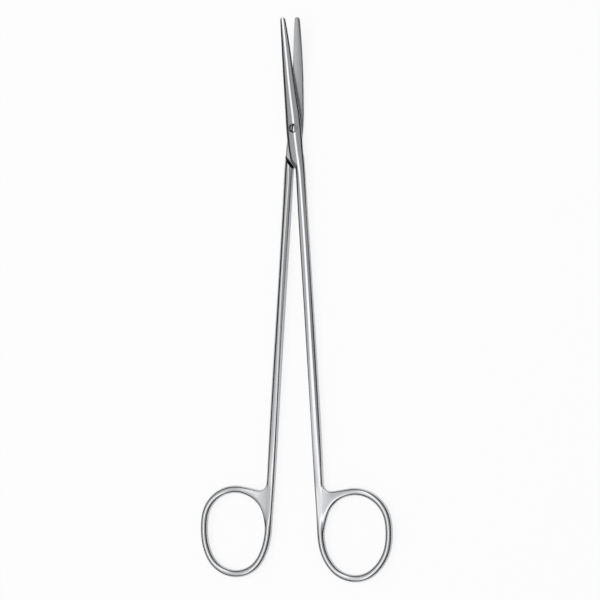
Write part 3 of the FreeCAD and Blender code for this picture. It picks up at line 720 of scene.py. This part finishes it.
def runTree(name, base, tree, settings):
    # puts the tree on the base mesh, sets its named inputs and returns the plain result
    source = bpy.data.objects.new(name + "Source", base)
    bpy.context.scene.collection.objects.link(source)
    modifier = source.modifiers.new("shape", "NODES")
    modifier.node_group = tree
    identifiers = {item.name: item.identifier for item in tree.interface.items_tree
                   if item.item_type == "SOCKET" and item.in_out == "INPUT"}
    for socketName, value in settings.items():
        modifier[identifiers[socketName]] = value
    bpy.context.view_layer.update()
    graph = bpy.context.evaluated_depsgraph_get()
    data = bpy.data.meshes.new_from_object(source.evaluated_get(graph))
    bpy.data.objects.remove(source)
    data.name = name
    return data


def layDown(data, turn):
    # opens the piece about the pivot and sets it at its height, in metres
    data.transform(Matrix.Translation((0, 0, jointShape["middleHeight"] * millimetre))
                   @ Matrix.Rotation(math.radians(turn), 4, "Z") @ Matrix.Scale(millimetre, 4))


def sharpen(data, angle):
    # edges steeper than the angle stay crisp, all others shade smoothly
    mesh = bmesh.new()
    mesh.from_mesh(data)
    for face in mesh.faces:
        face.smooth = True
    for edge in mesh.edges:
        edge.smooth = len(edge.link_faces) == 2 and edge.calc_face_angle(0) < math.radians(angle)
    mesh.to_mesh(data)
    mesh.free()


def addPiece(name, data, body, node):
    piece = bpy.data.objects.new(name, data)
    bpy.context.scene.collection.objects.link(piece)
    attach(piece, body)
    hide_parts(node)


forgedHalf = halfTree()
for half, sign in (("upper", 1), ("lower", -1)):
    halfMesh = runTree(half + "Half", halfCage(half, sign), forgedHalf, {
        "Smoothing": 3,
        "Flat Radius": jointShape["flatRadius"],
        "Bend Angle": jointShape["bendAngle"],
        "Curve Radius": jointShape["curveRadius"],
        "Bore Radius": jointShape["boreRadius"],
        "Seat Radius": jointShape["seatRadius"] if half == "upper" else jointShape["boreRadius"],
        "Seat Height": jointShape["seatHeight"],
        "Outer Finish": satinSteel,
        "Inner Finish": innerFaceSteel,
        "Groove Shade Finish": grooveShadeSteel,
    })
    layDown(halfMesh, sign * jointShape["opening"] / 2)
    sharpen(halfMesh, sectionShape["crispAngle"])
    addPiece(half + "Half", halfMesh, half, half + "_half")
    print(half, "half forged,", len(halfMesh.polygons), "faces")


# Pivot screw, turned on a lathe and slotted

screwShape = {
    "shaft": 1.1,              # radius
    "head": 1.65,              # radius
    "seat": 1.3,               # heights over the middle plane: under the head, its top and the foot
    "rise": 2.45,
    "foot": -2.3,
    "footChamfer": 0.08,
    "headChamfer": 0.06,       # under the head
    "edge": 0.1,               # rounding of the head's rim
    "edgeSteps": 6,
    "dome": 0.62,              # its top rises by this
    "domeSteps": 10,
    "slotWidth": 0.52,
    "slotLength": 4.0,
    "slotDepth": 0.6,
    "slotTurn": 84,            # degrees
    "facets": 96,
    "crispAngle": 35,          # degrees; steeper edges stay crisp
    "turnedWave": 0.15,        # mm; the lathe's rings are 2 pi times this far apart
}


def screwProfile():
    # half outline of the screw: distance from the axis, height
    s = screwShape
    places = [(0, s["foot"]), (s["shaft"] - s["footChamfer"], s["foot"]),
              (s["shaft"], s["foot"] + s["footChamfer"]), (s["shaft"], s["seat"]),
              (s["head"] - s["headChamfer"], s["seat"]), (s["head"], s["seat"] + s["headChamfer"])]
    crown = s["rise"] - s["dome"]
    for step in range(s["edgeSteps"] + 1):
        turn = math.radians(90 * step / s["edgeSteps"])
        places.append((s["head"] - s["edge"] * (1 - math.cos(turn)),
                       crown - s["edge"] * (1 - math.sin(turn))))
    flat = s["head"] - s["edge"]
    for step in range(s["domeSteps"] - 1, -1, -1):
        share = step / s["domeSteps"]
        places.append((flat * share, crown + s["dome"] * (1 - share ** 2)))
    data = bpy.data.meshes.new("screwProfile")
    places.reverse()
    data.from_pydata([(x, -z, 0) for x, z in places],  # the sweep turns the outline over
                     [(i, i + 1) for i in range(len(places) - 1)], [])
    return data


def screwTree():
    tree, given = newTree("turnedScrew", (
        ("Facets", "Int"), ("Slot Size", "Vector"), ("Slot Height", "Float"), ("Slot Turn", "Float"),
        ("Finish", "Material"), ("Slot Shade Finish", "Material")))
    sockets = given.outputs
    outline = addNode(tree, "GeometryNodeMeshToCurve", None, None, {"Mesh": sockets["Geometry"]})
    axis = addNode(tree, "GeometryNodeCurvePrimitiveCircle", {"mode": "RADIUS"}, {"Radius": 0.00001},
                   {"Resolution": sockets["Facets"]})
    turned = addNode(tree, "GeometryNodeCurveToMesh", None, None,
                     {"Curve": axis.outputs["Curve"], "Profile Curve": outline.outputs["Curve"]})
    closed = addNode(tree, "GeometryNodeMergeByDistance", None, {"Distance": 0.001},
                     {"Geometry": turned.outputs["Mesh"]})
    saw = addNode(tree, "GeometryNodeMeshCube", None, None, {"Size": sockets["Slot Size"]})
    height = addNode(tree, "ShaderNodeCombineXYZ", None, None, {"Z": sockets["Slot Height"]})
    turn = addNode(tree, "ShaderNodeCombineXYZ", None, None,
                   {"Z": calculate(tree, "RADIANS", sockets["Slot Turn"])})
    marked = addNode(tree, "GeometryNodeStoreNamedAttribute", {"data_type": "INT", "domain": "FACE"},
                     {"Name": "sawn", "Value": 1}, {"Geometry": saw.outputs["Mesh"]})
    sawn = addNode(tree, "GeometryNodeTransform", None, None,
                   {"Geometry": marked.outputs[0], "Translation": height.outputs[0],
                    "Rotation": turn.outputs[0]})
    slotted = addNode(tree, "GeometryNodeMeshBoolean", {"operation": "DIFFERENCE", "solver": "EXACT"},
                      None, {"Mesh 1": closed.outputs[0], "Mesh 2": sawn.outputs[0]})
    inSlot = addNode(tree, "GeometryNodeInputNamedAttribute", {"data_type": "INT"}, {"Name": "sawn"})
    isSawn = addNode(tree, "FunctionNodeCompare", {"data_type": "INT", "operation": "EQUAL"}, {"B": 1},
                     {"A": inSlot.outputs["Attribute"]})
    real = addNode(tree, "GeometryNodeRealizeInstances", None, None, {"Geometry": slotted.outputs["Mesh"]})
    head = addNode(tree, "GeometryNodeSetMaterial", None, None,
                   {"Geometry": real.outputs[0], "Material": sockets["Finish"]})
    # the slot's faces get the dark steel: painted shade
    finished = addNode(tree, "GeometryNodeSetMaterial", None, None,
                       {"Geometry": head.outputs[0], "Material": sockets["Slot Shade Finish"],
                        "Selection": isSawn.outputs["Result"]})
    addNode(tree, "NodeGroupOutput", None, None, {"Geometry": finished.outputs[0]})
    return tree


def turnedSteel(name, smoothest, roughest, colour):
    # Stainless steel off the lathe: fine rings about the axis, brighter than the ground halves
    material, tree = newMaterial(name)
    place = addNode(tree, "ShaderNodeTexCoord")
    rings = addNode(tree, "ShaderNodeTexWave", {"wave_type": "RINGS", "rings_direction": "Z"},
                    {"Scale": 1 / (screwShape["turnedWave"] * millimetre) / 20,
                     "Distortion": 0.4, "Detail": 2.0},
                    {"Vector": place.outputs["Object"]})
    rough = addNode(tree, "ShaderNodeMapRange", None, {"To Min": smoothest, "To Max": roughest},
                    {"Value": rings.outputs["Fac"]})
    bump = addNode(tree, "ShaderNodeBump", None, {"Strength": 0.5, "Distance": 0.002 * millimetre},
                   {"Height": rings.outputs["Fac"]})
    steel = addNode(tree, "ShaderNodeBsdfPrincipled", None,
                    {"Metallic": 1.0, "Base Color": linearColour(colour)},
                    {"Roughness": rough.outputs["Result"], "Normal": bump.outputs["Normal"]})
    addNode(tree, "ShaderNodeOutputMaterial", None, None, {"Surface": steel.outputs["BSDF"]})
    return material


screwMesh = runTree("pivotScrew", screwProfile(), screwTree(), {
    "Facets": screwShape["facets"],
    "Slot Size": (screwShape["slotLength"], screwShape["slotWidth"], 2 * screwShape["slotDepth"]),
    "Slot Height": screwShape["rise"],
    "Slot Turn": screwShape["slotTurn"],
    "Finish": turnedSteel("turnedScrewSteel", 0.12, 0.22, "#D4D5D7"),
    "Slot Shade Finish": turnedSteel("slotShadeSteel", 0.5, 0.6, "#242527"),  # painted shade in the slot; dull from the saw
})
layDown(screwMesh, -jointShape["opening"] / 2)
sharpen(screwMesh, screwShape["crispAngle"])
addPiece("pivotScrew", screwMesh, "lower", "pivot_screw")
print("screw turned,", len(screwMesh.polygons), "faces")


# Floor, light and camera

studio = {
    "floorHalf": 3.0,
    "lampCentre": (-0.26, 0.05, 1.2),
    "lampSize": (1.3, 1.25),
    "lampRadiance": 1.75,
    "ambient": 0.55,
    "tentRadius": 2.5,
    "stripRadiance": 1.7,
    "across": ((-90, 0.02), (-66, 0.03), (-60, 0.1), (-54, 0.25), (-47, 0.33), (-36, 0.36), (-26, 0.4),
               (-20, 0.5), (-15, 0.75), (-12, 1.0), (0, 1.0), (6, 0.55), (14, 0.33), (30, 0.25),
               (42, 0.2), (50, 0.12), (56, 0.03), (90, 0.02)),
    "along": ((-90, 0.1), (-72, 0.12), (-60, 0.3), (-45, 0.8), (-30, 1.0), (40, 1.0), (50, 0.7),
              (60, 0.3), (70, 0.12), (90, 0.1)),
    "floorSeen": 0.86,     # share of plain white that the camera sees in the floor
    "floorMirrored": 0.15,  # the same in the steel, which mirrors the floor's shade too
}


def paleFloor():
    # matt white paper; the camera sees it lifted to the photo's white, and reflections a little
    material, tree = newMaterial("whitePaper")
    paper = addNode(tree, "ShaderNodeBsdfDiffuse", None, {"Color": linearColour("#F2F2F2")})
    glow = addNode(tree, "ShaderNodeEmission", None, {"Color": linearColour("#FFFFFF"), "Strength": 1.0})
    rays = addNode(tree, "ShaderNodeLightPath")
    bounced = calculate(tree, "MAXIMUM", rays.outputs["Is Glossy Ray"], rays.outputs["Is Transmission Ray"])
    share = calculate(tree, "MAXIMUM",
                      calculate(tree, "MULTIPLY", rays.outputs["Is Camera Ray"], studio["floorSeen"]),
                      calculate(tree, "MULTIPLY", bounced, studio["floorMirrored"]))
    lifted = addNode(tree, "ShaderNodeMixShader", None, None, {"Fac": share})
    tree.links.new(paper.outputs[0], lifted.inputs[1])
    tree.links.new(glow.outputs[0], lifted.inputs[2])
    addNode(tree, "ShaderNodeOutputMaterial", None, None, {"Surface": lifted.outputs[0]})
    return material


def greyRamp(tree, angle, levels):
    # brightness by an angle in degrees, from -90 to 90
    place = calculate(tree, "ADD", calculate(tree, "DIVIDE", angle, math.pi), 0.5)
    ramp = addNode(tree, "ShaderNodeValToRGB", None, None, {"Fac": place})
    elements = ramp.color_ramp.elements
    for i, (degrees, level) in enumerate(levels):
        position = (degrees + 90) / 180
        element = elements[i] if i < 2 else elements.new(position)
        element.position = position
        element.color = (level, level, level, 1)
    return ramp.outputs["Color"]


def tentCloth():
    # what the steel mirrors: one long bright strip overhead, grey cloth beside it, dark low down
    material, tree = newMaterial("greyTentCloth")
    place = addNode(tree, "ShaderNodeTexCoord")
    axes = addNode(tree, "ShaderNodeSeparateXYZ", None, None, {"Vector": place.outputs["Object"]})
    x, y, z = (axes.outputs[name] for name in "XYZ")
    across = greyRamp(tree, calculate(tree, "ARCTAN2", x, z), studio["across"])
    along = greyRamp(tree, calculate(tree, "ARCTAN2", y, z), studio["along"])
    both = addNode(tree, "ShaderNodeVectorMath", {"operation": "MULTIPLY"})
    tree.links.new(across, both.inputs[0])
    tree.links.new(along, both.inputs[1])
    glow = addNode(tree, "ShaderNodeEmission", None, {"Strength": studio["stripRadiance"]},
                   {"Color": both.outputs["Vector"]})
    addNode(tree, "ShaderNodeOutputMaterial", None, None, {"Surface": glow.outputs[0]})
    return material


def addStage(name, data, material):
    prop = bpy.data.objects.new(name, data)
    bpy.context.scene.collection.objects.link(prop)
    data.materials.append(material)
    return prop


reach = studio["floorHalf"]
floorMesh = bpy.data.meshes.new("floor")
floorMesh.from_pydata([(-reach, -reach, 0), (reach, -reach, 0), (reach, reach, 0), (-reach, reach, 0)], [],
                      [(0, 1, 2, 3)])
addStage("floor", floorMesh, paleFloor())

tentMesh = bpy.data.meshes.new("lightTent")
dome = bmesh.new()
bmesh.ops.create_uvsphere(dome, u_segments=64, v_segments=32, radius=studio["tentRadius"])
bmesh.ops.bisect_plane(dome, geom=dome.verts[:] + dome.edges[:] + dome.faces[:], plane_co=(0, 0, 0),
                       plane_no=(0, 0, 1), clear_inner=True)
dome.to_mesh(tentMesh)
dome.free()
tent = addStage("lightTent", tentMesh, tentCloth())
tent.visible_camera = False
tent.visible_diffuse = False
tent.visible_shadow = False
tent.visible_transmission = False

lampData = bpy.data.lights.new("softbox", "AREA")
lampData.shape = "RECTANGLE"
lampData.size, lampData.size_y = studio["lampSize"]
lampData.energy = studio["lampRadiance"] * math.pi * lampData.size * lampData.size_y
lamp = bpy.data.objects.new("softbox", lampData)
lamp.location = studio["lampCentre"]
lamp.visible_camera = False
lamp.visible_glossy = False  # the tent has the strip that the steel mirrors
bpy.context.scene.collection.objects.link(lamp)

world = bpy.data.worlds.new("studio")
bpy.context.scene.world = world
world.use_nodes = True
air = world.node_tree
air.nodes.clear()
rays = addNode(air, "ShaderNodeLightPath")
bounced = calculate(air, "MAXIMUM", rays.outputs["Is Glossy Ray"], rays.outputs["Is Transmission Ray"])
seen = calculate(air, "MAXIMUM", rays.outputs["Is Camera Ray"], bounced)
level = calculate(air, "ADD", calculate(air, "MULTIPLY", seen, 1 - studio["ambient"]), studio["ambient"])
sky = addNode(air, "ShaderNodeBackground", None, {"Color": (1, 1, 1, 1)}, {"Strength": level})
addNode(air, "ShaderNodeOutputWorld", None, None, {"Surface": sky.outputs[0]})

view = {
    "target": (0.00199, -0.0606, 0.0023),
    "lean": 20,            # degrees from square, towards +X
    "distance": 0.9,
    "field": 0.212,        # metres across the picture at the target
    "sensor": 36.0,
}
cameraData = bpy.data.cameras.new("camera")
cameraData.sensor_width = view["sensor"]
cameraData.lens = view["sensor"] * view["distance"] / view["field"]
camera = bpy.data.objects.new("camera", cameraData)
lean = math.radians(view["lean"])
target = Vector(view["target"])
camera.location = target + Vector((math.sin(lean), 0, math.cos(lean))) * view["distance"]
camera.rotation_euler = (0, lean, 0)
bpy.context.scene.collection.objects.link(camera)
bpy.context.scene.camera = camera
bpy.context.scene.view_settings.view_transform = "Standard"
print("floor, light and camera set")
